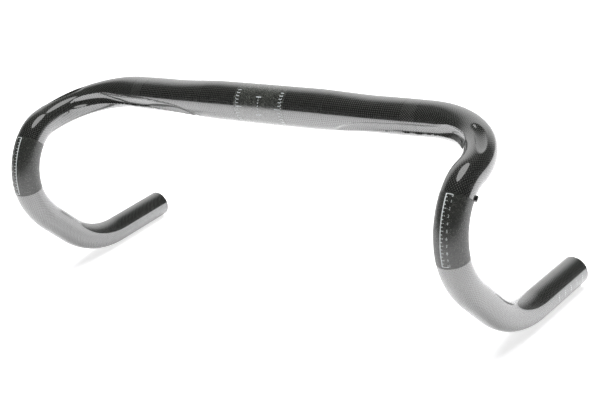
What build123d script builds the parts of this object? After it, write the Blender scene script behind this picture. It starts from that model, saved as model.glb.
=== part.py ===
"""Carbon road drop handlebar, modelled as the laid-up pieces it is bonded from.

Frame: millimetres, +X to the rider's right, +Y forward, +Z up. The origin is the middle of the
stem clamp. Every hollow piece is a layer between two hulls of the same tube: hull(0) is the
outside of the bar and hull(d) is the same shape d deeper, so neighbouring layers meet face to face.
"""
import os
from math import cos, degrees, radians, sin, tan

from build123d import *

os.makedirs("parts", exist_ok=True)

# --- Tube sections ---
clamp_diameter = 31.8  # stem clamp standard
grip_diameter = 23.8  # lever clamp and bar tape standard
wing_width = 34.0  # flattened tops, front to back
wing_height = 27.8
wing_tilt = 8.0  # degrees, front edge up

# --- Centre line of the tops ---
half_width = 209.5  # to the corner where the tops' line and the hook's line would cross
straight_reach = 60.0  # straight through the clamp as far as this
sweep_back = 2.8  # degrees, tops angled towards the rider
sweep_down = 0.8
corner_radius = 59.0

# --- Centre line of the hook, seen from the side ---
ramp_pitch = 11.0  # degrees below level where the corner ends
hook_toe_in = 0.055  # inward lean of the hook's plane, per mm forward
hook_flare = 0.033  # outward lean of the hook's plane, per mm down
shoulder_radius = 30.0
shoulder_turn = 30.0  # degrees, as are the next two
front_radius = 48.0
front_turn = 76.0
lower_radius = 80.0
lower_turn = 18.0
flat_length = 27.0
heel_radius = 85.0
drop_end_length = 64.0  # straight at the bar end

# --- Stations along the tops' centre line ---
clamp_end = 43.0  # end of the full clamp diameter
wing_start = 101.0
rounding_lead = 32.0  # the wing starts turning round this far before the corner
rounding_stop = 10.0  # and is round this far before the corner's end
seam_station = 133.0  # joint between the centre section and a drop

# --- Laminate ---
wall = 1.5
clamp_plies = 1.5  # extra thickness inside the clamp
clamp_plies_reach = 42.0
sleeve_wall = 1.3
sleeve_half_length = 16.0
lever_plies = 1.1
lever_plies_lead = 2.6  # ahead of the grip band
lever_plies_overrun = 7.0  # beyond the grip band
wrap_thickness = 0.3
wrap_half_width = 6.0
grip_thickness = 0.2
film_thickness = 0.1

# --- Cable grooves ---
groove_radius = 6.5
groove_bend = 20.0
# (station, angle from the front edge, depth): a negative depth is clear above the surface
front_groove = (
    (58, -70, -3.5),
    (84, -40, 2.2),
    (118, -27, 2.4),
    (160, -22, 2.6),
    (180, -6, 3.0),
    (205, 5, 2.6),
    (236, 11, -3.5),
)
top_groove = (
    (186, 64, -3.5),
    (206, 74, 2.2),
    (223, 86, 2.2),
    (242, 104, -3.5),
)

# --- Loft ---
tops_steps = 9  # sections between the clamp and the corner
corner_steps = 8

# --- Clamp and lever zones ---
clamp_grip_reach = 24.5
clamp_scale_outer = 23.0
clamp_scale_width = 7.0
centre_mark_width = 6.0
clamp_scale_top = 75.0  # degrees from the front edge, as are the next three
clamp_scale_bottom = -70.0
centre_mark_top = 35.0
centre_mark_bottom = -25.0
lever_zone_start = 5.3  # along the front bend
lever_zone_length = 43.0
lever_scale_inner = -8.0  # degrees from the front, outboard positive
lever_scale_outer = 32.0
lever_scale_margin = 1.0
nib_length = 4.4
nib_width = 2.6
nib_height = 2.0
nib_corner = 0.85
nib_angle = 112.0  # degrees from the front, outboard
nib_gap = 0.5  # between the nib and the grip band
nib_root = 0.8  # how deep the nib is rooted in the wall

# --- Bar-end trimming scale ---
trim_scale_length = 40.0
trim_scale_inset = 8.0
trim_scale_low = 66.0  # degrees from the underside, outboard
trim_scale_high = 114.0

clamp_radius = clamp_diameter / 2
grip_radius = grip_diameter / 2


def smooth(value, low, high):
    """0 below low, 1 above high, and a smooth rise between."""
    share = min(max((value - low) / (high - low), 0), 1)
    return share * share * (3 - 2 * share)


# --- Centre line ---
top_direction = Vector(
    cos(radians(sweep_back)) * cos(radians(sweep_down)),
    -sin(radians(sweep_back)),
    -cos(radians(sweep_back)) * sin(radians(sweep_down)),
)
bend_point = Vector(straight_reach, 0, 0)
corner_point = bend_point + top_direction * ((half_width - straight_reach) / top_direction.X)
hook_plane = Plane(
    origin=corner_point,
    x_dir=Vector(-hook_toe_in, 1, 0),
    z_dir=Vector(1, hook_toe_in, hook_flare),
)
ramp_forward = hook_plane.x_dir * cos(radians(ramp_pitch))
ramp_direction = ramp_forward - hook_plane.y_dir * sin(radians(ramp_pitch))
corner_turn = top_direction.get_angle(ramp_direction)
corner_setback = corner_radius * tan(radians(corner_turn / 2))
corner_axis = top_direction.cross(ramp_direction).normalized()
corner_inward = corner_axis.cross(top_direction)
corner_start = straight_reach + (corner_point - bend_point).length - corner_setback
corner_end = corner_start + radians(corner_turn) * corner_radius
corner_centre = corner_point - top_direction * corner_setback + corner_inward * corner_radius
flat_direction = Vector(0, cos(radians(wing_tilt)), sin(radians(wing_tilt)))


def station(distance):
    """The plane across the tube at a distance along the tops, its X towards the front edge."""
    if distance <= straight_reach:
        return Plane(origin=(distance, 0, 0), x_dir=flat_direction, z_dir=(1, 0, 0))
    if distance <= corner_start:
        place = bend_point + top_direction * (distance - straight_reach)
        return Plane(origin=place, x_dir=flat_direction, z_dir=top_direction)
    turned = (distance - corner_start) / corner_radius
    outward = top_direction * sin(turned) - corner_inward * cos(turned)
    place = corner_centre + outward * corner_radius
    heading = top_direction * cos(turned) + corner_inward * sin(turned)
    across = flat_direction.rotate(Axis((0, 0, 0), corner_axis), degrees(turned))
    return Plane(origin=place, x_dir=across, z_dir=heading)


def section_radii(distance, depth=0.0):
    """Half width and half height of the tube's section at a station, depth below its surface."""
    flat = smooth(distance, clamp_end, wing_start)
    rounded = smooth(distance, corner_start - rounding_lead, corner_end - rounding_stop)
    half_sizes = []
    for wing in (wing_width / 2, wing_height / 2):
        blended = clamp_radius + (wing - clamp_radius) * flat
        half_sizes.append(blended + (grip_radius - blended) * rounded - depth)
    return half_sizes


def surface_point(distance, angle, lift=0.0):
    """A point on the tube's surface, or lift above it, at an angle from the front edge."""
    half_wide, half_high = section_radii(distance, -lift)
    local = (half_wide * cos(radians(angle)), half_high * sin(radians(angle)), 0)
    return station(distance).from_local_coords(Vector(*local))


def groove_tool(route, depth):
    """The round-bottomed channel that a cable groove takes out of a hull."""
    radius = groove_radius + depth
    points = [surface_point(place, angle, groove_radius - sink) for place, angle, sink in route]
    with BuildPart() as tool:
        with BuildLine() as path:
            FilletPolyline(*points, radius=groove_bend)
        with BuildSketch(Plane(origin=path.line @ 0, z_dir=path.line % 0)):
            Circle(radius)
        sweep()
    return tool.part


def spaced(start, stop, steps):
    """Evenly spaced stations after start, as far as stop."""
    return [start + (stop - start) * step / steps for step in range(1, steps + 1)]


loft_stations = [clamp_end]
loft_stations += spaced(clamp_end, corner_start, tops_steps)
loft_stations += spaced(corner_start, corner_end, corner_steps)


def tops_hull(depth):
    """The right half of the tops and its corner as a solid, depth below the outside surface."""
    channels = [groove_tool(route, depth) for route in (front_groove, top_groove)]
    with BuildPart() as hull:
        with BuildSketch(Plane.YZ):
            Circle(clamp_radius - depth)
        extrude(amount=clamp_end)
        for distance in loft_stations:
            with BuildSketch(station(distance)):
                Ellipse(*section_radii(distance, depth))
        loft()
        add(channels, mode=Mode.SUBTRACT)
    return hull.part


layer_depths = (0.0, wrap_thickness, wall, wall + sleeve_wall)
hulls = {depth: tops_hull(depth) for depth in layer_depths}


def tops_layer(outer_depth, inner_depth, start, stop):
    """The material between two hulls and between two stations of the right half."""
    with BuildPart() as layer:
        add(hulls[outer_depth])
        add(hulls[inner_depth], mode=Mode.SUBTRACT)
        if start > 0:
            split(bisect_by=station(start), keep=Keep.TOP)
        if stop < corner_end:
            split(bisect_by=station(stop), keep=Keep.BOTTOM)
    return layer.part


# --- Route of the right hook ---
heel_turn = 180 - ramp_pitch - shoulder_turn - front_turn - lower_turn  # leaves the bar end level
with BuildLine(hook_plane) as hook_route:
    hook_start = tuple(hook_plane.to_local_coords(station(corner_end).origin))[:2]
    ramp_heading = (cos(radians(ramp_pitch)), -sin(radians(ramp_pitch)))
    shoulder = JernArc(hook_start, ramp_heading, shoulder_radius, -shoulder_turn)
    front = JernArc(shoulder @ 1, shoulder % 1, front_radius, -front_turn)
    lower = JernArc(front @ 1, front % 1, lower_radius, -lower_turn)
    flat = Line(lower @ 1, lower @ 1 + (lower % 1) * flat_length)
    heel = JernArc(flat @ 1, flat % 1, heel_radius, -heel_turn)
    drop_end = Line(heel @ 1, heel @ 1 + (heel % 1) * drop_end_length)


def across_hook(edge, distance):
    """The plane across the hook at a distance along one edge of its route.

    X points out of the bend, away from the hand, and Y points outboard.
    """
    share = distance / edge.length
    heading = edge % share
    return Plane(origin=edge @ share, x_dir=hook_plane.z_dir.cross(heading), z_dir=heading)


front_axis = Axis(front.arc_center, -hook_plane.z_dir)


def ring_face(plane, outer, inner, low, high):
    """A sector of a ring on a plane, between two angles."""
    with BuildSketch(plane) as ring:
        with BuildLine():
            outer_arc = CenterArc((0, 0), outer, low, high - low)
            inner_arc = CenterArc((0, 0), inner, low, high - low)
            Line(outer_arc @ 0, inner_arc @ 0)
            Line(outer_arc @ 1, inner_arc @ 1)
        make_face()
    return ring.sketch


def front_bend_sleeve(outer, inner, start, length):
    """A sleeve round the tube's front bend, between two radii."""
    with BuildPart() as sleeve:
        with BuildSketch(across_hook(front, start)):
            Circle(outer)
            Circle(inner, mode=Mode.SUBTRACT)
        revolve(axis=front_axis, revolution_arc=degrees(length / front_radius))
    return sleeve.part


def mirrored(part, label):
    """The same piece for the left side."""
    with BuildPart() as left:
        mirror(part, about=Plane.YZ)
    left.part.label = label
    return left.part


def write(part):
    """Write one finished piece under its label."""
    export_step(part, f"parts/{part.label}.step")


def write_pair(part, name):
    """Write a piece of the right side and its mirror image on the left."""
    part.label = f"right_{name}"
    write(part)
    write(mirrored(part, f"left_{name}"))


# --- Clamp zone ---
with BuildPart() as clamp_grip_band:
    with BuildSketch(Plane.YZ):
        Circle(clamp_radius)
        Circle(clamp_radius - grip_thickness, mode=Mode.SUBTRACT)
    extrude(amount=clamp_grip_reach, both=True)
clamp_pocket = clamp_grip_band.part

film_radii = (clamp_radius, clamp_radius - film_thickness)
clamp_station = station(0)
scale_plane = clamp_station.offset(clamp_scale_outer - clamp_scale_width)
right_clamp_face = ring_face(scale_plane, *film_radii, clamp_scale_bottom, clamp_scale_top)
with BuildPart() as clamp_scale:
    extrude(right_clamp_face, amount=clamp_scale_width)

centre_face = ring_face(clamp_station, *film_radii, centre_mark_bottom, centre_mark_top)
with BuildPart() as centre_mark:
    extrude(centre_face, amount=centre_mark_width / 2, both=True)
centre_mark.part.label = "centre_mark"
write(centre_mark.part)

with BuildPart() as grip_band:
    add(clamp_pocket)
    add(clamp_scale.part, mode=Mode.SUBTRACT)
    add(mirrored(clamp_scale.part, "left_clamp_scale"), mode=Mode.SUBTRACT)
    add(centre_mark.part, mode=Mode.SUBTRACT)
grip_band.part.label = "clamp_grip_band"
write(grip_band.part)
write_pair(clamp_scale.part, "clamp_scale")

with BuildPart() as clamp_reinforcement:
    with BuildSketch(Plane.YZ):
        Circle(clamp_radius - wall)
        Circle(clamp_radius - wall - clamp_plies, mode=Mode.SUBTRACT)
    extrude(amount=clamp_plies_reach, both=True)
clamp_reinforcement.part.label = "clamp_reinforcement"
write(clamp_reinforcement.part)

# --- Seam between the centre section and a drop ---
seam_wrap = tops_layer(
    0.0, wrap_thickness, seam_station - wrap_half_width, seam_station + wrap_half_width
)
write_pair(seam_wrap, "seam_wrap")

joint_sleeve = tops_layer(
    wall, wall + sleeve_wall, seam_station - sleeve_half_length, seam_station + sleeve_half_length
)
write_pair(joint_sleeve, "joint_sleeve")

# --- Centre section: clamp and flattened tops, out to both seams ---
half_section = tops_layer(0.0, wall, 0, seam_station)
with BuildPart() as centre_section:
    add(half_section)
    add(seam_wrap, mode=Mode.SUBTRACT)
    mirror(about=Plane.YZ)
    add(clamp_pocket, mode=Mode.SUBTRACT)
centre_section.part.label = "centre_section"
write(centre_section.part)

# --- Lever zone on the front bend ---
lever_pocket = front_bend_sleeve(
    grip_radius, grip_radius - grip_thickness, lever_zone_start, lever_zone_length
)
grip_film_radii = (grip_radius, grip_radius - film_thickness)
lever_scale_length = lever_zone_length - 2 * lever_scale_margin
scale_station = across_hook(front, lever_zone_start + lever_scale_margin)
scale_face = ring_face(scale_station, *grip_film_radii, lever_scale_inner, lever_scale_outer)
with BuildPart() as lever_scale:
    revolve(scale_face, axis=front_axis, revolution_arc=degrees(lever_scale_length / front_radius))
write_pair(lever_scale.part, "lever_scale")

with BuildPart() as lever_grip_band:
    add(lever_pocket)
    add(lever_scale.part, mode=Mode.SUBTRACT)
write_pair(lever_grip_band.part, "lever_grip_band")

bore_radius = grip_radius - wall
lever_reinforcement = front_bend_sleeve(
    bore_radius,
    bore_radius - lever_plies,
    lever_zone_start - lever_plies_lead,
    lever_plies_lead + lever_zone_length + lever_plies_overrun,
)
write_pair(lever_reinforcement, "lever_reinforcement")

# --- Trimming scale on the straight bar end ---
trim_start = drop_end_length - trim_scale_inset - trim_scale_length
trim_station = across_hook(drop_end, trim_start)
trim_face = ring_face(trim_station, *grip_film_radii, trim_scale_low, trim_scale_high)
with BuildPart() as trim_scale:
    extrude(trim_face, amount=trim_scale_length)
write_pair(trim_scale.part, "trim_scale")

# --- Drop: corner, hook and bar end ---
nib_place = across_hook(front, lever_zone_start - nib_gap - nib_length / 2)
nib_up = nib_place.x_dir.rotate(Axis((0, 0, 0), nib_place.z_dir), nib_angle)
nib_root_radius = grip_radius - nib_root
nib_plane = Plane(origin=nib_place.origin + nib_up * nib_root_radius, x_dir=nib_place.z_dir, z_dir=nib_up)
corner_part = tops_layer(0.0, wall, seam_station, corner_end)
with BuildPart() as right_drop:
    add(corner_part)
    with BuildSketch(station(corner_end)):
        Circle(grip_radius)
        Circle(bore_radius, mode=Mode.SUBTRACT)
    sweep(path=hook_route.line)
    with BuildSketch(nib_plane):
        RectangleRounded(nib_length, nib_width, nib_corner)
    extrude(amount=nib_root + nib_height)
    for pocket in (seam_wrap, lever_pocket, trim_scale.part):
        add(pocket, mode=Mode.SUBTRACT)
write_pair(right_drop.part, "drop")
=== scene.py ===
"""Looks of the carbon drop handlebar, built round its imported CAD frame.

Metres, +X to the rider's right, +Y forward, +Z up, the origin at the middle of the stem clamp.
The tube's skin is swept along the same centre line as the CAD layers, with a length-wise and
round-wise coordinate in its UV map, so that weave, grit and print all follow the tube.
"""

import math

import bpy
import numpy as np
from mathutils import Matrix, Vector


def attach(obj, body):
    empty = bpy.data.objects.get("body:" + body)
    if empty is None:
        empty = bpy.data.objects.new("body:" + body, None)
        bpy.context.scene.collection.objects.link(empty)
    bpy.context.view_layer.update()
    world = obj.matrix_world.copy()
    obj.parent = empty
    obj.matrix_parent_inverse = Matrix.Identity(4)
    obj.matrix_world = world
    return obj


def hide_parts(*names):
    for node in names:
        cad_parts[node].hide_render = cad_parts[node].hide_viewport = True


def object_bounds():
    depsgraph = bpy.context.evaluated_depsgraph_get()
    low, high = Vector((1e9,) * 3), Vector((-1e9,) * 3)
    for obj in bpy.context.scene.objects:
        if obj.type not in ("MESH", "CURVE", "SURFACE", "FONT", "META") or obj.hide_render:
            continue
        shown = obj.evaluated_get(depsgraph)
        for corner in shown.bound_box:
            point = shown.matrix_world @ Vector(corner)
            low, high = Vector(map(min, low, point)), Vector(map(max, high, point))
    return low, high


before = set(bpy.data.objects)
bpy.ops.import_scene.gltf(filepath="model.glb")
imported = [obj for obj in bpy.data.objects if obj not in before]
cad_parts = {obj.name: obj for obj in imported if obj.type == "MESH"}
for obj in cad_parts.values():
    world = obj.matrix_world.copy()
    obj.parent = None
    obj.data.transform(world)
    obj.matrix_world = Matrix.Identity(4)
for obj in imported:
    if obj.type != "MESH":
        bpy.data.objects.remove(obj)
cad_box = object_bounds()
MM = 0.001

# --- Tube sections, the same as in the CAD frame (millimetres and degrees) ---
CLAMP_RADIUS = 15.9
GRIP_RADIUS = 11.9
WING_HALF_WIDTH, WING_HALF_HEIGHT = 17.0, 13.9
WING_TILT = 8.0
WALL = 1.5

# --- Centre line ---
HALF_WIDTH = 209.5
STRAIGHT_REACH = 60.0
SWEEP_BACK, SWEEP_DOWN = 2.8, 0.8
CORNER_RADIUS = 59.0
RAMP_PITCH = 11.0
HOOK_TOE_IN, HOOK_FLARE = 0.055, 0.033
# (radius or None for a straight, turn in degrees or length)
HOOK_RUNS = ((30.0, 30.0), (48.0, 76.0), (80.0, 18.0), (None, 27.0), (85.0, 45.0), (None, 64.0))

# --- Stations along the centre line ---
CLAMP_END = 43.0
WING_START = 101.0
ROUNDING_LEAD, ROUNDING_STOP = 32.0, 10.0
SEAM_STATION = 133.0
SEAM_HALF_WIDTH = 6.0

# --- Bands, wraps and nib ---
CLAMP_GRIP_REACH = 24.5
LEVER_ZONE_START = 5.3  # along the front bend
LEVER_ZONE_LENGTH = 43.0
GRIP_THICKNESS = 0.2
WRAP_THICKNESS = 0.3
BAND_GAP = 0.12  # hairline between a band and the shell beside it
NIB_LENGTH = 4.4
NIB_WIDTH = 2.6
NIB_HEIGHT = 2.0
NIB_ROOT = 0.8  # how deep the nib is rooted in the wall
NIB_GAP = 0.5  # between the nib and the grip band
NIB_ANGLE = 112.0  # from the outside of the bend, outboard
NIB_AROUND = 24
NIB_SQUARENESS = 0.6  # 1 gives an ellipse and 0 a rectangle
# (height above the tube, inset from the nib's outline)
NIB_RINGS = ((-NIB_ROOT, 0.0), (NIB_HEIGHT - 0.7, 0.0), (NIB_HEIGHT - 0.25, 0.2), (NIB_HEIGHT, 0.7))

# --- Cable grooves: (station, angle from the front edge, depth) ---
GROOVE_RADIUS = 6.5
GROOVE_RIM = 0.35  # softness of the groove's edge
FRONT_GROOVE = ((58, -70, -3.5), (84, -40, 2.2), (118, -27, 2.4), (160, -22, 2.6),
                (180, -6, 3.0), (205, 5, 2.6), (236, 11, -3.5))
TOP_GROOVE = ((186, 64, -3.5), (206, 74, 2.2), (223, 86, 2.2), (242, 104, -3.5))


def unit(vector):
    """The vector at length one."""
    return vector / np.linalg.norm(vector)


def turned(vector, axis, angle):
    """The vector turned about an axis by an angle in radians."""
    return (vector * math.cos(angle) + np.cross(axis, vector) * math.sin(angle)
            + axis * np.dot(axis, vector) * (1 - math.cos(angle)))


def smooth(value, low, high):
    """0 below low, 1 above high, and a smooth rise between."""
    share = np.clip((value - low) / (high - low), 0, 1)
    return share * share * (3 - 2 * share)


class CentreLine:
    """The right half of the bar's centre line, as runs of constant turn from the clamp outwards."""

    def __init__(self):
        back, down = math.radians(SWEEP_BACK), math.radians(SWEEP_DOWN)
        tilt, pitch = math.radians(WING_TILT), math.radians(RAMP_PITCH)
        top = np.array([math.cos(back) * math.cos(down), -math.sin(back), -math.cos(back) * math.sin(down)])
        bend = np.array([STRAIGHT_REACH, 0.0, 0.0])
        corner = bend + top * ((HALF_WIDTH - STRAIGHT_REACH) / top[0])
        self.hook_normal = unit(np.array([1, HOOK_TOE_IN, HOOK_FLARE]))
        level = unit(np.array([-HOOK_TOE_IN, 1, 0]))
        upright = np.cross(self.hook_normal, level)
        ramp = level * math.cos(pitch) - upright * math.sin(pitch)
        corner_turn = math.acos(np.dot(top, ramp))
        setback = CORNER_RADIUS * math.tan(corner_turn / 2)
        front_edge = np.array([0, math.cos(tilt), math.sin(tilt)])
        self.runs = []
        self._add(0.0, np.zeros(3), np.array([1.0, 0, 0]), front_edge, None, STRAIGHT_REACH, 0)
        top_length = np.linalg.norm(corner - bend) - setback
        self._add(STRAIGHT_REACH, bend, top, front_edge, None, top_length, 0)
        self.corner_start = STRAIGHT_REACH + top_length
        self._follow(unit(np.cross(top, ramp)), CORNER_RADIUS, corner_turn)
        self.corner_end = self.length
        self.hook_starts = []
        for radius, amount in HOOK_RUNS:
            self.hook_starts.append(self.length)
            self._follow(-self.hook_normal, radius, math.radians(amount) if radius else amount)

    def _add(self, start, place, heading, edge, axis, length, radius):
        self.runs.append((start, place, unit(heading), edge, axis, length, radius))
        self.length = start + length

    def _follow(self, axis, radius, amount):
        """Adds a run after the last one: an arc about an axis, or a straight where radius is None."""
        place, heading, edge = self.frame(self.length)
        length = radius * amount if radius else amount
        self._add(self.length, place, heading, edge, axis if radius else None, length, radius or 0)

    def frame(self, distance):
        """Place, heading and front-edge direction at a distance from the middle of the clamp."""
        for start, place, heading, edge, axis, length, radius in reversed(self.runs):
            if distance >= start:
                break
        along = distance - start
        if axis is None:
            spot, direction, side = place + heading * along, heading, edge
        else:
            angle = along / radius
            inward = np.cross(axis, heading)
            spot = place + heading * radius * math.sin(angle) + inward * radius * (1 - math.cos(angle))
            direction = turned(heading, axis, angle)
            side = turned(edge, axis, angle)
        side = unit(side - direction * np.dot(side, direction))
        return spot, direction, side


line = CentreLine()


def section_radii(distance, depth=0.0):
    """Half width and half height of the tube at a station, depth below its surface."""
    flat = smooth(distance, CLAMP_END, WING_START)
    rounded = smooth(distance, line.corner_start - ROUNDING_LEAD, line.corner_end - ROUNDING_STOP)
    half_sizes = []
    for wing in (WING_HALF_WIDTH, WING_HALF_HEIGHT):
        blended = CLAMP_RADIUS + (wing - CLAMP_RADIUS) * flat
        half_sizes.append(blended + (GRIP_RADIUS - blended) * rounded - depth)
    return half_sizes


def surface(distance, angles, depth=0.0):
    """Points and outward normals round the tube at a station, at angles from the front edge."""
    place, heading, edge = line.frame(distance)
    upper = np.cross(heading, edge)
    wide, high = section_radii(distance, depth)
    cosines, sines = np.cos(angles)[:, None], np.sin(angles)[:, None]
    points = place + edge * wide * cosines + upper * high * sines
    normals = edge * cosines / wide + upper * sines / high
    return points, normals / np.linalg.norm(normals, axis=1)[:, None]


def groove_axis(route, samples=700):
    """A smooth curve through a groove's points, GROOVE_RADIUS above the groove's floor."""
    stations, angles, depths = (np.array(column, float) for column in zip(*route))
    lifts = GROOVE_RADIUS - depths
    points = []
    for place, angle, lift in zip(stations, np.radians(angles), lifts):
        points.append(surface(place, np.array([angle]), -lift)[0][0])
    points = np.array(points)
    knots = np.concatenate([[0], np.cumsum(np.linalg.norm(np.diff(points, axis=0), axis=1))])
    slopes = np.gradient(points, knots, axis=0)
    curve = []
    for spot in np.linspace(0, knots[-1], samples):
        index = min(np.searchsorted(knots, spot, side="right") - 1, len(knots) - 2)
        span = knots[index + 1] - knots[index]
        share = (spot - knots[index]) / span
        to_end = 3 * share ** 2 - 2 * share ** 3
        start_slope = share ** 3 - 2 * share ** 2 + share
        end_slope = share ** 3 - share ** 2
        curve.append((2 * share ** 3 - 3 * share ** 2 + 1) * points[index]
                     + start_slope * span * slopes[index]
                     + to_end * points[index + 1] + end_slope * span * slopes[index + 1])
    return np.array(curve)


GROOVES = [groove_axis(route) for route in (FRONT_GROOVE, TOP_GROOVE)]


def sink_grooves(points, normals, depth):
    """Moves the points that a groove's round channel reaches down to the channel's floor."""
    radius = GROOVE_RADIUS + depth
    for axis in GROOVES:
        offsets = points[:, None] - axis[None]
        nearest = np.argmin(np.linalg.norm(offsets, axis=2), axis=1)
        offset = offsets[np.arange(len(points)), nearest]
        height = np.einsum("ij,ij->i", offset, normals)
        aside = np.sqrt(np.maximum(np.einsum("ij,ij->i", offset, offset) - height ** 2, 0))
        round_floor = np.sqrt(np.maximum(radius ** 2 - aside ** 2, 0))
        sink = height + np.where(aside < radius, round_floor, radius - aside)
        sink = (sink + np.sqrt(sink ** 2 + GROOVE_RIM ** 2)) / 2
        rim_drop = GROOVE_RIM ** 2 / 4 / np.maximum(sink, GROOVE_RIM)
        sink = np.where(height < 0, np.maximum(sink - rim_drop, 0), 0)
        points = points - normals * sink[:, None]
    return points


# --- Meshes ---
SEAM_ANGLE = math.radians(-100)  # where the UV map closes, under the bar
AROUND = 180  # points round the tube
STEP = 1.1  # between rings of the skin
INNER_STEP = 3 * STEP
RECESS_EDGE = 0.02  # length of the square step at a recess's end
CREASE = math.radians(35)


def signed_ring(distance, angles, depth):
    """A ring of skin points at a signed station: the left half mirrors the right half."""
    points, normals = surface(abs(distance), angles, depth)
    if CLAMP_END < abs(distance) < line.corner_end:
        points = sink_grooves(points, normals, max(depth, 0))
    if distance < 0:
        points = points * np.array([-1, 1, 1])
    return points


def mesh_piece(name, points, faces, corner_uvs, materials, face_slots=None):
    """A mesh piece that rides on the bar, from points and corner UVs in millimetres."""
    mesh = bpy.data.meshes.new(name)
    mesh.from_pydata((np.asarray(points) * MM).tolist(), [], faces)
    layer = mesh.uv_layers.new(name="along_round")
    layer.data.foreach_set("uv", (np.asarray(corner_uvs) * MM).ravel())
    for material in materials:
        mesh.materials.append(material)
    if face_slots is not None:
        mesh.polygons.foreach_set("material_index", face_slots)
    mesh.update()
    mesh.shade_smooth()
    mesh.set_sharp_from_angle(angle=CREASE)
    piece = bpy.data.objects.new(name, mesh)
    bpy.context.scene.collection.objects.link(piece)
    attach(piece, "root")
    return piece


def ring_grid(stations, depths, flip):
    """Points, faces and corner UVs of a tube skin through rings at the given stations."""
    angles = SEAM_ANGLE + np.arange(AROUND) * 2 * math.pi / AROUND
    points, arcs = [], []
    for distance, depth in zip(stations, depths):
        points.append(signed_ring(distance, angles, depth))
        wide, high = section_radii(abs(distance))
        arcs.append((wide + high) / 2)
    faces, uvs = [], []
    turn = 2 * math.pi / AROUND
    for row in range(len(stations) - 1):
        for column in range(AROUND):
            after = (column + 1) % AROUND
            face = (row * AROUND + column, row * AROUND + after,
                    (row + 1) * AROUND + after, (row + 1) * AROUND + column)
            low, high = column * turn + SEAM_ANGLE, (column + 1) * turn + SEAM_ANGLE
            corner = ((stations[row], low * arcs[row]), (stations[row], high * arcs[row]),
                      (stations[row + 1], high * arcs[row + 1]), (stations[row + 1], low * arcs[row + 1]))
            if flip:
                face, corner = face[::-1], corner[::-1]
            faces.append(face)
            uvs.extend(corner)
    return np.concatenate(points), faces, uvs


def joined(*grids):
    """Several grids of points, faces and UVs as one, and each one's number of faces."""
    points, faces, uvs, counts = [], [], [], []
    base = 0
    for grid_points, grid_faces, grid_uvs in grids:
        points.append(grid_points)
        faces += [tuple(index + base for index in face) for face in grid_faces]
        uvs += grid_uvs
        counts.append(len(grid_faces))
        base += len(grid_points)
    return np.concatenate(points), faces, uvs, counts


def tube_profile(start, stop, recesses):
    """Stations and skin depths from start to stop, with a square step at each recess's ends."""
    count = max(int(round((stop - start) / STEP)), 2)
    stations = list(np.linspace(start, stop, count + 1))
    profile = []
    for distance in stations:
        inside = [depth for low, high, depth in recesses if low <= distance <= high]
        profile.append((distance, inside[0] if inside else 0.0))
    for low, high, depth in recesses:
        for edge, before, after in ((low, 0.0, depth), (high, depth, 0.0)):
            if start < edge < stop:
                profile += [(edge - RECESS_EDGE / 2, before), (edge + RECESS_EDGE / 2, after)]
    profile.sort()
    return [row[0] for row in profile], [row[1] for row in profile]


def close_end(faces, uvs, outer_row, inner_row, turn_over):
    """Adds the flat ring of faces between an outer and an inner ring of points."""
    for column in range(AROUND):
        after = (column + 1) % AROUND
        face = (outer_row + column, outer_row + after, inner_row + after, inner_row + column)
        faces.append(face[::-1] if turn_over else face)
        uvs += [(0.0, 0.0)] * 4


def shell(name, start, stop, outside, inside, recesses):
    """A hollow length of the tube between two signed stations, closed at both cut ends."""
    stations, depths = tube_profile(start, stop, recesses)
    outer = ring_grid(stations, depths, flip=True)
    inner_stations = np.linspace(start, stop, max(int((stop - start) / INNER_STEP), 2))
    inner = ring_grid(list(inner_stations), [WALL] * len(inner_stations), flip=False)
    points, faces, uvs, counts = joined(outer, inner)
    inner_base = len(outer[0])
    last_outer = (len(stations) - 1) * AROUND
    last_inner = inner_base + (len(inner_stations) - 1) * AROUND
    close_end(faces, uvs, 0, inner_base, False)
    close_end(faces, uvs, last_outer, last_inner, True)
    slots = [0] * counts[0] + [1] * (len(faces) - counts[0])
    return mesh_piece(name, points, faces, uvs, (outside, inside), slots)


def band(name, start, stop, thickness, material, proud=0.0):
    """A thin closed sleeve in the skin between two signed stations, proud of it or below it."""
    count = max(int(round((stop - start) / STEP)), 2)
    stations = list(np.linspace(start, stop, count + 1))
    outer = ring_grid(stations, [-proud] * len(stations), flip=True)
    inner = ring_grid(stations, [thickness] * len(stations), flip=False)
    points, faces, uvs, _ = joined(outer, inner)
    last = (len(stations) - 1) * AROUND
    base = len(outer[0])
    close_end(faces, uvs, 0, base, False)
    close_end(faces, uvs, last, base + last, True)
    return mesh_piece(name, points, faces, uvs, (material,))


# --- Printed graduations ---
PRINT_LIFT = 0.03
PRINT_SINK = 0.03
PRINT_CELL = 2.0  # longest edge of a print's mesh, so that it follows the tube
NUMBER_SCALE = 1.35  # font size that gives a number one unit high
NUMBER_CURVE_STEPS = 3


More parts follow.
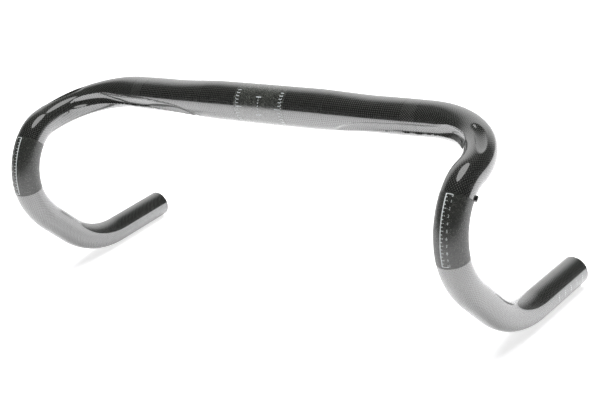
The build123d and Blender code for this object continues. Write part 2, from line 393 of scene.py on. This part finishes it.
def plate(start, stop, low, high, side, lift):
    """A thin closed plate on the skin between two stations and two angles, as points, faces and UVs."""
    rows = max(int(math.ceil((stop - start) / PRINT_CELL)), 1)
    arc = math.radians(high - low) * GRIP_RADIUS
    columns = max(int(math.ceil(arc / PRINT_CELL)), 1)
    angles = np.radians(np.linspace(low, high, columns + 1))
    points = []
    for depth in (-lift, PRINT_LIFT + PRINT_SINK - lift):
        for distance in np.linspace(start, stop, rows + 1):
            points.append(signed_ring(side * distance, angles, depth))
    width = columns + 1
    layer = (rows + 1) * width
    faces = []
    for row in range(rows):
        for column in range(columns):
            a = row * width + column
            b = a + width
            faces.append((a, b, b + 1, a + 1))
            faces.append((layer + a, layer + a + 1, layer + b + 1, layer + b))
    for row in range(rows):
        a, b = row * width, (row + 1) * width
        faces.append((a, layer + a, layer + b, b))
        faces.append((b + columns, layer + b + columns, layer + a + columns, a + columns))
    for column in range(columns):
        a, b = column, column + 1
        faces.append((b, layer + b, layer + a, a))
        a, b = rows * width + column, rows * width + column + 1
        faces.append((a, layer + a, layer + b, b))
    if side < 0:
        faces = [face[::-1] for face in faces]
    uvs = [(start, low), (start, high), (stop, high), (stop, low)] * len(faces)
    return np.concatenate(points), faces, uvs


def print_cells(cells, side, lift=PRINT_LIFT):
    """Plates as one grid, lifted off the skin: each cell is (start, stop, low angle, high angle)."""
    return joined(*(plate(*cell, side, lift) for cell in cells))[:3]


def text_plate(text, height, distance, angle, side):
    """A generic number as a thin plate flush with the skin, reading round the tube."""
    curve = bpy.data.curves.new("number", "FONT")
    curve.body = text
    curve.size = height * NUMBER_SCALE
    curve.align_x = "CENTER"
    curve.align_y = "CENTER"
    curve.extrude = (PRINT_LIFT + PRINT_SINK) / 2
    curve.resolution_u = NUMBER_CURVE_STEPS
    holder = bpy.data.objects.new("number", curve)
    bpy.context.scene.collection.objects.link(holder)
    bpy.context.view_layer.update()
    evaluated = holder.evaluated_get(bpy.context.evaluated_depsgraph_get())
    flat = bpy.data.meshes.new_from_object(evaluated)
    wide = section_radii(distance)[0]
    points = []
    for vertex in flat.vertices:
        spot = np.array([math.radians(angle) + vertex.co.x / wide])
        depth = (PRINT_LIFT + PRINT_SINK) / 2 - vertex.co.z
        points.append(signed_ring(side * (distance - vertex.co.y), spot, depth)[0])
    faces = [tuple(polygon.vertices) for polygon in flat.polygons]
    if side < 0:
        faces = [face[::-1] for face in faces]
    uvs = [(0.0, 0.0)] * sum(len(face) for face in faces)
    bpy.data.objects.remove(holder)
    bpy.data.curves.remove(curve)
    bpy.data.meshes.remove(flat)
    return np.array(points), faces, uvs


# --- Materials ---
COAT_IOR = 2.5  # above a real lacquer's, since this table is less bright than the photo's
BASE_IOR = 1.5
CENTRE_TOW = 0.00125  # metres
DROP_TOW = 0.00105
# The lengthwise tows' colours are painted lighter than the crosswise ones. This is a painted sheen for the
# light the tows mirror, over the weave's real dark pattern, on the tube and on the seam wrap.
WARP_COLOUR_AND_SHEEN = (0.050, 0.054, 0.046, 1)
WEFT_COLOUR = (0.009, 0.010, 0.0085, 1)
SEAM_WARP_COLOUR_AND_SHEEN = (0.085, 0.088, 0.080, 1)
SEAM_WEFT_COLOUR = (0.035, 0.037, 0.033, 1)
BETWEEN_TOWS = (0.006, 0.0065, 0.006, 1)
RESIN_PATCH = (0.02, 0.021, 0.019, 1)
LAMINATE_DARK = (0.012, 0.012, 0.012, 1)
LAMINATE_LIGHT = (0.045, 0.045, 0.043, 1)
PALE_INK = (0.78, 0.82, 0.84, 1)
WHITE_INK = (0.86, 0.90, 0.90, 1)
WORN_INK = 0.55  # brightness where the ink is thin
SPECK_GAIN = 6.0  # how much lighter a grain of grit is than the warp
RELIEF = 0.0002  # metres, height of the weave and the grit
COAT_RELIEF = 0.0001
DIAGONAL, LENGTHWISE = 45.0, 0.0  # the lay of the tows, in degrees
# noise cells per metre
PATCH_SCALE = 260.0
ORANGE_PEEL_SCALE = 90.0
GRAIN_SCALE = 1500.0
COARSE_SCALE = 900.0
FIBRE_SCALE = 1500.0
WEAR_SCALE = 1400.0


class Nodes:
    """A short way to write a material's node tree."""

    def __init__(self, name):
        self.material = bpy.data.materials.new(name)
        self.material.use_nodes = True
        self.tree = self.material.node_tree
        self.shader = self.tree.nodes["Principled BSDF"]

    def link(self, value, socket):
        """Sets a socket to a number or colour, or links another socket to it."""
        if isinstance(value, bpy.types.NodeSocket):
            self.tree.links.new(value, socket)
        else:
            socket.default_value = value

    def math(self, operation, *values):
        """The result of a math node."""
        node = self.tree.nodes.new("ShaderNodeMath")
        node.operation = operation
        for value, socket in zip(values, node.inputs):
            self.link(value, socket)
        return node.outputs[0]

    def ramp(self, value, low, high):
        """0 below low, 1 above high, and a smooth rise between."""
        node = self.tree.nodes.new("ShaderNodeMapRange")
        node.interpolation_type = "SMOOTHSTEP"
        for socket, number in zip(node.inputs, (value, low, high, 0.0, 1.0)):
            self.link(number, socket)
        return node.outputs[0]

    def mix(self, share, first, second):
        """The first colour, going over to the second as the share rises."""
        node = self.tree.nodes.new("ShaderNodeMix")
        node.data_type = "RGBA"
        self.link(share, node.inputs["Factor"])
        first_colour, second_colour = node.inputs[6:8]  # the colour pair among the node's inputs
        self.link(first, first_colour)
        self.link(second, second_colour)
        return node.outputs[2]

    def noise(self, vector, scale, detail, roughness=0.5):
        """Cloudy noise about one half."""
        node = self.tree.nodes.new("ShaderNodeTexNoise")
        self.link(vector, node.inputs["Vector"])
        node.inputs["Scale"].default_value = scale
        node.inputs["Detail"].default_value = detail
        node.inputs["Roughness"].default_value = roughness
        return node.outputs["Fac"]

    def place(self):
        """Position in the object, in metres."""
        return self.tree.nodes.new("ShaderNodeTexCoord").outputs["Object"]

    def along_round(self):
        """Length-wise and round-wise position on the skin, in metres."""
        uv = self.tree.nodes.new("ShaderNodeUVMap")
        uv.uv_map = "along_round"
        parts = self.tree.nodes.new("ShaderNodeSeparateXYZ")
        self.tree.links.new(uv.outputs[0], parts.inputs[0])
        return parts.outputs[0], parts.outputs[1]

    def bump(self, height, distance, strength, target="Normal"):
        """Bumps the base's normal, or the coat's, by a height."""
        node = self.tree.nodes.new("ShaderNodeBump")
        node.inputs["Distance"].default_value = distance
        node.inputs["Strength"].default_value = strength
        self.link(height, node.inputs["Height"])
        self.tree.links.new(node.outputs[0], self.shader.inputs[target])

    def set(self, **numbers):
        """Sets the shader's own sockets by name, with underscores for spaces."""
        for name, value in numbers.items():
            self.link(value, self.shader.inputs[name.replace("_", " ")])


def weave(nodes, tow, angle):
    """Plain weave of flat tows: where the lengthwise tow is on top, and the cloth's height."""
    along, around = nodes.along_round()
    cosine, sine = math.cos(math.radians(angle)) / tow, math.sin(math.radians(angle)) / tow
    first = nodes.math("ADD", nodes.math("MULTIPLY", along, cosine),
                       nodes.math("MULTIPLY", around, sine))
    second = nodes.math("SUBTRACT", nodes.math("MULTIPLY", around, cosine),
                        nodes.math("MULTIPLY", along, sine))
    cells = nodes.math("SUBTRACT", nodes.math("FLOOR", first), nodes.math("FLOOR", second))
    top = nodes.math("LESS_THAN", nodes.math("FLOORED_MODULO", cells, 2.0), 0.5)
    heights = []
    for run, across in ((first, second), (second, first)):
        dome = nodes.math("SINE", nodes.math("MULTIPLY", nodes.math("FRACT", across), math.pi))
        hump = nodes.math("SINE", nodes.math("MULTIPLY", nodes.math("FRACT", run), math.pi))
        heights.append(nodes.math("MULTIPLY", nodes.math("POWER", dome, 0.6),
                                  nodes.math("POWER", hump, 0.5)))
    height = nodes.math("ADD", nodes.math("MULTIPLY", heights[0], top),
                        nodes.math("MULTIPLY", heights[1], nodes.math("SUBTRACT", 1.0, top)))
    return top, height


def carbon(name, tow, angle, warp_and_sheen, weft):
    """Woven carbon under a gloss clear coat, its lengthwise tows painted lighter as a painted sheen."""
    nodes = Nodes(name)
    top, height = weave(nodes, tow, angle)
    # painted sheen: where the lengthwise tow lies on top it takes the lighter colour, standing for the
    # light it mirrors
    cloth_and_sheen = nodes.mix(top, weft, warp_and_sheen)
    patches = nodes.ramp(nodes.noise(nodes.place(), PATCH_SCALE, detail=3.0), low=0.3, high=0.7)
    colour = nodes.mix(nodes.ramp(height, low=0.0, high=0.9), BETWEEN_TOWS, cloth_and_sheen)
    colour = nodes.mix(nodes.math("MULTIPLY", patches, 0.35), colour, RESIN_PATCH)
    nodes.set(Base_Color=colour, Roughness=0.40, IOR=BASE_IOR, Coat_Weight=1.0, Coat_Roughness=0.03,
              Coat_IOR=COAT_IOR)
    nodes.bump(height, RELIEF, strength=0.5)
    orange_peel = nodes.noise(nodes.place(), ORANGE_PEEL_SCALE, detail=1.0)
    nodes.bump(orange_peel, RELIEF, strength=0.12, target="Coat Normal")
    return nodes.material


def scaled(colour, gain):
    """A colour with its red, green and blue multiplied."""
    return tuple(channel * gain for channel in colour[:3]) + (1,)


def gritted(name, tow, angle, lightness, shine):
    """Fine grit bound in lacquer over the weave."""
    nodes = Nodes(name)
    _, height = weave(nodes, tow, angle)
    grains = nodes.noise(nodes.place(), GRAIN_SCALE, detail=2.0, roughness=0.6)
    coarse = nodes.noise(nodes.place(), COARSE_SCALE, detail=3.0, roughness=0.6)
    base = scaled(WARP_COLOUR_AND_SHEEN, lightness)
    dark = scaled(WEFT_COLOUR, lightness)
    speck = scaled(WARP_COLOUR_AND_SHEEN, lightness * SPECK_GAIN)
    colour = nodes.mix(nodes.ramp(coarse, low=0.35, high=0.65), dark, base)
    specks = nodes.math("MULTIPLY", nodes.ramp(grains, low=0.58, high=0.68), 0.9)
    colour = nodes.mix(specks, colour, speck)
    grit = nodes.math("ADD", nodes.ramp(grains, low=0.4, high=0.7),
                      nodes.math("MULTIPLY", coarse, 0.8))
    relief = nodes.math("ADD", grit, nodes.math("MULTIPLY", height, 0.4))
    nodes.set(Base_Color=colour, Roughness=0.45, IOR=BASE_IOR, Coat_Weight=shine,
              Coat_Roughness=0.16, Coat_IOR=COAT_IOR)
    nodes.bump(relief, RELIEF, strength=0.7)
    nodes.bump(relief, COAT_RELIEF, strength=0.30, target="Coat Normal")
    return nodes.material


def raw_laminate(name):
    """Uncoated laminate, as inside the tube and on its cut ends."""
    nodes = Nodes(name)
    fibres = nodes.noise(nodes.place(), FIBRE_SCALE, detail=4.0, roughness=0.7)
    colour = nodes.mix(fibres, LAMINATE_DARK, LAMINATE_LIGHT)
    nodes.set(Base_Color=colour, Roughness=0.55, IOR=BASE_IOR)
    nodes.bump(fibres, RELIEF, strength=0.4)
    return nodes.material


def printed(name, colour):
    """Screen-printed ink under the clear coat, a little uneven."""
    nodes = Nodes(name)
    blotches = nodes.noise(nodes.place(), WEAR_SCALE, detail=3.0, roughness=0.7)
    wear = nodes.ramp(blotches, low=0.30, high=0.45)
    ink_colour = nodes.mix(wear, scaled(colour, WORN_INK), colour)
    nodes.set(Base_Color=ink_colour, Roughness=0.4, Coat_Weight=0.6, Coat_Roughness=0.1)
    return nodes.material


centre_carbon = carbon("centre_carbon", CENTRE_TOW, DIAGONAL, WARP_COLOUR_AND_SHEEN, WEFT_COLOUR)
drop_carbon = carbon("drop_carbon", DROP_TOW, LENGTHWISE, WARP_COLOUR_AND_SHEEN, WEFT_COLOUR)
seam_carbon = carbon("seam_carbon", DROP_TOW, LENGTHWISE, SEAM_WARP_COLOUR_AND_SHEEN, SEAM_WEFT_COLOUR)
clamp_grit = gritted("clamp_grit", CENTRE_TOW, DIAGONAL, lightness=1.1, shine=1.0)
lever_grit = gritted("lever_grit", DROP_TOW, LENGTHWISE, lightness=0.6, shine=0.3)
laminate = raw_laminate("raw_laminate")
pale_ink = printed("pale_ink", PALE_INK)
white_ink = printed("white_ink", WHITE_INK)

# --- Ends of the zones ---
INNER_SEAM = SEAM_STATION - SEAM_HALF_WIDTH
OUTER_SEAM = SEAM_STATION + SEAM_HALF_WIDTH
BAR_END = line.length
FRONT_BEND = line.hook_starts[1]
LEVER_START = FRONT_BEND + LEVER_ZONE_START
LEVER_STOP = LEVER_START + LEVER_ZONE_LENGTH
SIDES = ((1, "right"), (-1, "left"))


def mirrored_span(side, start, stop):
    """Signed stations in rising order for a span on one side."""
    return (start, stop) if side > 0 else (-stop, -start)


def build_centre_section():
    """The clamp and the tops, sunk where the clamp band and the seam wraps lie."""
    recesses = [(-CLAMP_GRIP_REACH, CLAMP_GRIP_REACH, GRIP_THICKNESS)]
    for side in (-1, 1):
        recesses.append(mirrored_span(side, INNER_SEAM, SEAM_STATION + STEP) + (WRAP_THICKNESS,))
    section = shell("centre_section_skin", -SEAM_STATION, SEAM_STATION, centre_carbon, laminate,
                    recesses)
    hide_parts("centre_section")


def build_drop(side, name):
    """The corner, hook and bar end, sunk where the seam wrap and the lever band lie."""
    recesses = (mirrored_span(side, SEAM_STATION - STEP, OUTER_SEAM) + (WRAP_THICKNESS,),
                mirrored_span(side, LEVER_START, LEVER_STOP) + (GRIP_THICKNESS,))
    span = mirrored_span(side, SEAM_STATION, BAR_END)
    drop = shell(f"{name}_drop_skin", *span, drop_carbon, laminate, recesses)
    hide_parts(f"{name}_drop")


def build_nib(side, name):
    """The small moulded stop beside the lever zone, rounded at its top."""
    place, heading, _ = line.frame(FRONT_BEND + LEVER_ZONE_START - NIB_GAP - NIB_LENGTH / 2)
    outside = np.cross(line.hook_normal, heading)
    up = turned(outside, heading, math.radians(NIB_ANGLE))
    across = np.cross(heading, up)
    points = []
    for height, inset in NIB_RINGS:
        for step in range(NIB_AROUND):
            turn = 2 * math.pi * step / NIB_AROUND
            waves = (math.cos(turn), math.sin(turn))
            along, aside = (math.copysign(abs(wave) ** NIB_SQUARENESS, wave) for wave in waves)
            spot = place + up * (GRIP_RADIUS + height)
            spot = spot + heading * along * (NIB_LENGTH / 2 - inset)
            spot = spot + across * aside * (NIB_WIDTH / 2 - inset)
            points.append(spot * np.array([side, 1, 1]))
    last = (len(NIB_RINGS) - 1) * NIB_AROUND
    faces = [tuple(range(NIB_AROUND)), tuple(range(last, last + NIB_AROUND))[::-1]]
    for row in range(0, last, NIB_AROUND):
        for step in range(NIB_AROUND):
            after = (step + 1) % NIB_AROUND
            faces.append((row + step, row + NIB_AROUND + step, row + NIB_AROUND + after, row + after))
    if side < 0:
        faces = [face[::-1] for face in faces]
    uvs = [(0.0, 0.0)] * sum(len(face) for face in faces)
    nib = mesh_piece(f"{name}_nib_skin", np.array(points), faces, uvs, (drop_carbon,))
    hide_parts(f"{name}_drop")


def build_bands(side, name):
    """The seam wrap and the gritted lever band."""
    span = mirrored_span(side, INNER_SEAM + BAND_GAP, OUTER_SEAM - BAND_GAP)
    wrap = band(f"{name}_seam_wrap_skin", *span, WRAP_THICKNESS, seam_carbon)
    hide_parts(f"{name}_seam_wrap")
    span = mirrored_span(side, LEVER_START + BAND_GAP, LEVER_STOP - BAND_GAP)
    grip = band(f"{name}_lever_grip_skin", *span, GRIP_THICKNESS, lever_grit, proud=-PRINT_LIFT)
    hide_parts(f"{name}_lever_grip_band")


def build_clamp_band():
    """The gritted band under the stem clamp."""
    reach = CLAMP_GRIP_REACH - BAND_GAP
    grip = band("clamp_grip_skin", -reach, reach, GRIP_THICKNESS, clamp_grit)
    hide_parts("clamp_grip_band")


def coat_inner_layers():
    """Gives the CAD layers inside the tube their bare laminate."""
    inner_layers = ["clamp_reinforcement"]
    for _, name in SIDES:
        inner_layers += [f"{name}_joint_sleeve", f"{name}_lever_reinforcement"]
    for node in inner_layers:
        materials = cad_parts[node].data.materials
        materials.clear()
        materials.append(laminate)


build_centre_section()
build_clamp_band()
for bar_side, side_name in SIDES:
    build_drop(bar_side, side_name)
    build_nib(bar_side, side_name)
    build_bands(bar_side, side_name)
coat_inner_layers()

# --- Scales and marks (millimetres along the tube, degrees round it) ---
RING_SCALE = 22.6
RING_LINE = 0.5
RING_TICK_ANGLES = range(-50, 51, 10)
RING_TICK = 2.6
RING_LONG_TICK = 6.0
RING_TICK_WIDTH = 2.0
MARK_LINE = 0.7
MARK_BAR = 4.8
MARK_LOW, MARK_HIGH = -20, 30
MARK_BAR_HEIGHT = 3
SCALE_INSET = 1.2  # from the ends of the lever zone
SCALE_LINE_LOW, SCALE_LINE_HIGH = -6.0, -2.0
SCALE_DIVISIONS = 10
SCALE_TICK_WIDTH = 0.4
END_TICK, MAJOR_TICK, MINOR_TICK = 20.0, 9.0, 5.5
NUMBER_HEIGHT = 1.7
NUMBER_ANGLE = 19.0
NUMBER_INSET = 0.9
TRIM_INSET = 8.0
TRIM_LENGTH = 40.0
TRIM_MARKS = 5
TRIM_LEAD = 1.0
TRIM_PITCH = 9.5
TRIM_MARK_WIDTH = 0.3
TRIM_LOW, TRIM_HIGH = 72.0, 100.0


def outboard_angle(distance, angle):
    """The section angle that lies at an angle outboard from the outside of the front bend."""
    _, heading, edge = line.frame(distance)
    outside = np.cross(line.hook_normal, heading)
    upper = np.cross(heading, edge)
    start = math.degrees(math.atan2(np.dot(outside, upper), np.dot(outside, edge)))
    side_way = math.degrees(math.atan2(np.dot(line.hook_normal, upper), np.dot(line.hook_normal, edge)))
    way = 1 if (side_way - start) % 360 < 180 else -1
    return start + way * angle


def outboard_cell(centre, width, distance, low, high):
    """A print cell about a station, between two angles outboard from the outside of the bend."""
    ends = sorted((outboard_angle(distance, low), outboard_angle(distance, high)))
    return (centre - width / 2, centre + width / 2, *ends)


def finish_print(name, grid, material, node):
    """Adds a print as a piece in the place of its CAD film."""
    piece = mesh_piece(name, *grid, (material,))
    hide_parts(node)


def build_clamp_scale(side, name):
    """A line round the front of the clamp, with ticks towards the middle."""
    inner_edge = RING_SCALE - RING_LINE
    cells = [(inner_edge, RING_SCALE, RING_TICK_ANGLES[0], RING_TICK_ANGLES[-1])]
    for angle in RING_TICK_ANGLES:
        length = RING_LONG_TICK if angle == 0 else RING_TICK
        cells.append((inner_edge - length, inner_edge,
                      angle - RING_TICK_WIDTH / 2, angle + RING_TICK_WIDTH / 2))
    grid = print_cells(cells, side)
    finish_print(f"{name}_clamp_scale_print", grid, pale_ink, f"{name}_clamp_scale")


def build_centre_mark():
    """A plain line at the bar's centre, with a bar across each end."""
    half_line, half_bar = MARK_LINE / 2, MARK_BAR / 2
    cells = [(-half_line, half_line, MARK_LOW, MARK_HIGH),
             (-half_bar, half_bar, MARK_HIGH, MARK_HIGH + MARK_BAR_HEIGHT),
             (-half_bar, half_bar, MARK_LOW - MARK_BAR_HEIGHT, MARK_LOW)]
    finish_print("centre_mark_print", print_cells(cells, 1), pale_ink, "centre_mark")


def build_lever_scale(side, name):
    """A line along the front of the lever zone, with ticks and the numbers 0 to 10."""
    first, last = LEVER_START + SCALE_INSET, LEVER_STOP - SCALE_INSET
    length = last - first
    cells = [outboard_cell((first + last) / 2, length, first, SCALE_LINE_LOW, SCALE_LINE_HIGH)]
    half_ticks = SCALE_DIVISIONS * 2
    for step in range(half_ticks + 1):
        centre = first + length * step / half_ticks
        centre = min(max(centre, first + SCALE_TICK_WIDTH / 2), last - SCALE_TICK_WIDTH / 2)
        reach = MINOR_TICK
        if step % 2 == 0:
            reach = END_TICK if step in (0, half_ticks) else MAJOR_TICK
        cells.append(outboard_cell(centre, SCALE_TICK_WIDTH, first, SCALE_LINE_HIGH,
                                   SCALE_LINE_HIGH + reach))
    grids = [print_cells(cells, side, lift=0.0)]
    number_angle = outboard_angle(first, NUMBER_ANGLE)
    for step in range(SCALE_DIVISIONS + 1):
        centre = first + length * step / SCALE_DIVISIONS
        centre = min(max(centre, first + NUMBER_INSET), last - NUMBER_INSET)
        grids.append(text_plate(str(step), NUMBER_HEIGHT, centre, number_angle, side))
    points, faces, uvs, _ = joined(*grids)
    finish_print(f"{name}_lever_scale_print", (points, faces, uvs), white_ink, f"{name}_lever_scale")


def build_trim_scale(side, name):
    """Faint cutting marks near the bar end."""
    start = BAR_END - TRIM_INSET - TRIM_LENGTH
    cells = []
    for step in range(TRIM_MARKS):
        centre = start + TRIM_LEAD + step * TRIM_PITCH
        cells.append(outboard_cell(centre, TRIM_MARK_WIDTH, start, TRIM_LOW, TRIM_HIGH))
    grid = print_cells(cells, side)
    finish_print(f"{name}_trim_scale_print", grid, pale_ink, f"{name}_trim_scale")


build_centre_mark()
for bar_side, side_name in SIDES:
    build_clamp_scale(bar_side, side_name)
    build_lever_scale(bar_side, side_name)
    build_trim_scale(bar_side, side_name)


# --- Stage, light and camera (metres and watts) ---
TABLE_REACH = 4.0
TABLE_COLOUR = (0.9, 0.9, 0.91, 1)
TABLE_GLOW = 0.70  # what the camera and the coat see beyond the table's own lit white
WHITE = (1, 1, 1, 1)
BACKDROP_DIRECTION = (0.57, -0.73, 0.0)
BACKDROP_FADE = (0.45, 0.86)  # cosine of the angle from the backdrop's middle
ROOM_LEVEL = 0.05
CAMERA_PLACE = (-0.5819, 0.7210, 0.2753)
CAMERA_TARGET = (-0.0285, 0.0138, -0.0733)
CAMERA_ROLL = -7.48
LENS = 72.83
SENSOR_WIDTH = 36.0
# (name, place, target, size, power, mirrored in the coat)
LAMPS = (
    ("back_softbox", (0.6, -1.6, 1.5), (0, 0, 0), (1.4, 1.0), 10.0, False),
    ("top_softbox", (0.1, -0.1, 2.2), (0, 0, 0), (2.2, 2.2), 60.0, False),
    ("overhead_lamp", (-0.2, -0.05, 1.5), (-0.2, 0.05, 0), (0.9, 1.2), 3.6, True),
)


def build_stage():
    """A white table that touches the bar's lowest points."""
    low = cad_box[0][2]
    mesh = bpy.data.meshes.new("table")
    corners = [(along * TABLE_REACH, aside * TABLE_REACH, low)
               for along, aside in ((-1, -1), (1, -1), (1, 1), (-1, 1))]
    mesh.from_pydata(corners, [], [(0, 1, 2, 3)])
    table = bpy.data.objects.new("table", mesh)
    bpy.context.scene.collection.objects.link(table)
    nodes = Nodes("table_white")
    paths = nodes.tree.nodes.new("ShaderNodeLightPath")
    seen = nodes.math("MAXIMUM", paths.outputs["Is Camera Ray"], paths.outputs["Is Glossy Ray"])
    nodes.set(Base_Color=TABLE_COLOUR, Roughness=0.9, Specular_IOR_Level=0.0,
              Emission_Color=WHITE, Emission_Strength=nodes.math("MULTIPLY", seen, TABLE_GLOW))
    mesh.materials.append(nodes.material)


def build_world():
    """White to the camera and behind the bar, dark in front of it and overhead."""
    world = bpy.data.worlds.new("studio")
    bpy.context.scene.world = world
    world.use_nodes = True
    tree = world.node_tree
    background = tree.nodes["Background"]
    direction = tree.nodes.new("ShaderNodeTexCoord").outputs["Generated"]
    dot = tree.nodes.new("ShaderNodeVectorMath")
    dot.operation = "DOT_PRODUCT"
    tree.links.new(direction, dot.inputs[0])
    dot.inputs[1].default_value = BACKDROP_DIRECTION
    fade = tree.nodes.new("ShaderNodeMapRange")
    fade.interpolation_type = "SMOOTHSTEP"
    tree.links.new(dot.outputs["Value"], fade.inputs["Value"])
    for socket, number in zip(fade.inputs[1:5], (*BACKDROP_FADE, ROOM_LEVEL, 1.0)):
        socket.default_value = number
    paths = tree.nodes.new("ShaderNodeLightPath")
    largest = tree.nodes.new("ShaderNodeMath")
    largest.operation = "MAXIMUM"
    tree.links.new(fade.outputs[0], largest.inputs[0])
    tree.links.new(paths.outputs["Is Camera Ray"], largest.inputs[1])
    tree.links.new(largest.outputs[0], background.inputs["Strength"])
    background.inputs["Color"].default_value = WHITE


def softbox(name, place, target, size, power, mirrored_in_coat):
    """A soft area lamp aimed at a target, which the coat mirrors only if told to."""
    light = bpy.data.lights.new(name, "AREA")
    light.shape = "ELLIPSE"
    light.size, light.size_y = size
    light.energy = power
    lamp = bpy.data.objects.new(name, light)
    lamp.visible_glossy = mirrored_in_coat
    lamp.location = place
    lamp.rotation_euler = (Vector(target) - Vector(place)).to_track_quat("-Z", "Y").to_euler()
    bpy.context.scene.collection.objects.link(lamp)


def build_camera():
    """The camera, turned about its own axis by the roll of the hand-held view."""
    camera = bpy.data.cameras.new("view")
    camera.lens = LENS
    camera.sensor_width = SENSOR_WIDTH
    holder = bpy.data.objects.new("view", camera)
    gaze = (Vector(CAMERA_TARGET) - Vector(CAMERA_PLACE)).normalized()
    roll = Matrix.Rotation(math.radians(CAMERA_ROLL), 3, "Z")
    turn = gaze.to_track_quat("-Z", "Y").to_matrix() @ roll
    holder.matrix_world = Matrix.Translation(CAMERA_PLACE) @ turn.to_4x4()
    bpy.context.scene.collection.objects.link(holder)
    bpy.context.scene.camera = holder


build_stage()
build_world()
for lamp_facts in LAMPS:
    softbox(*lamp_facts)
build_camera()
bpy.context.scene.view_settings.view_transform = "Standard"
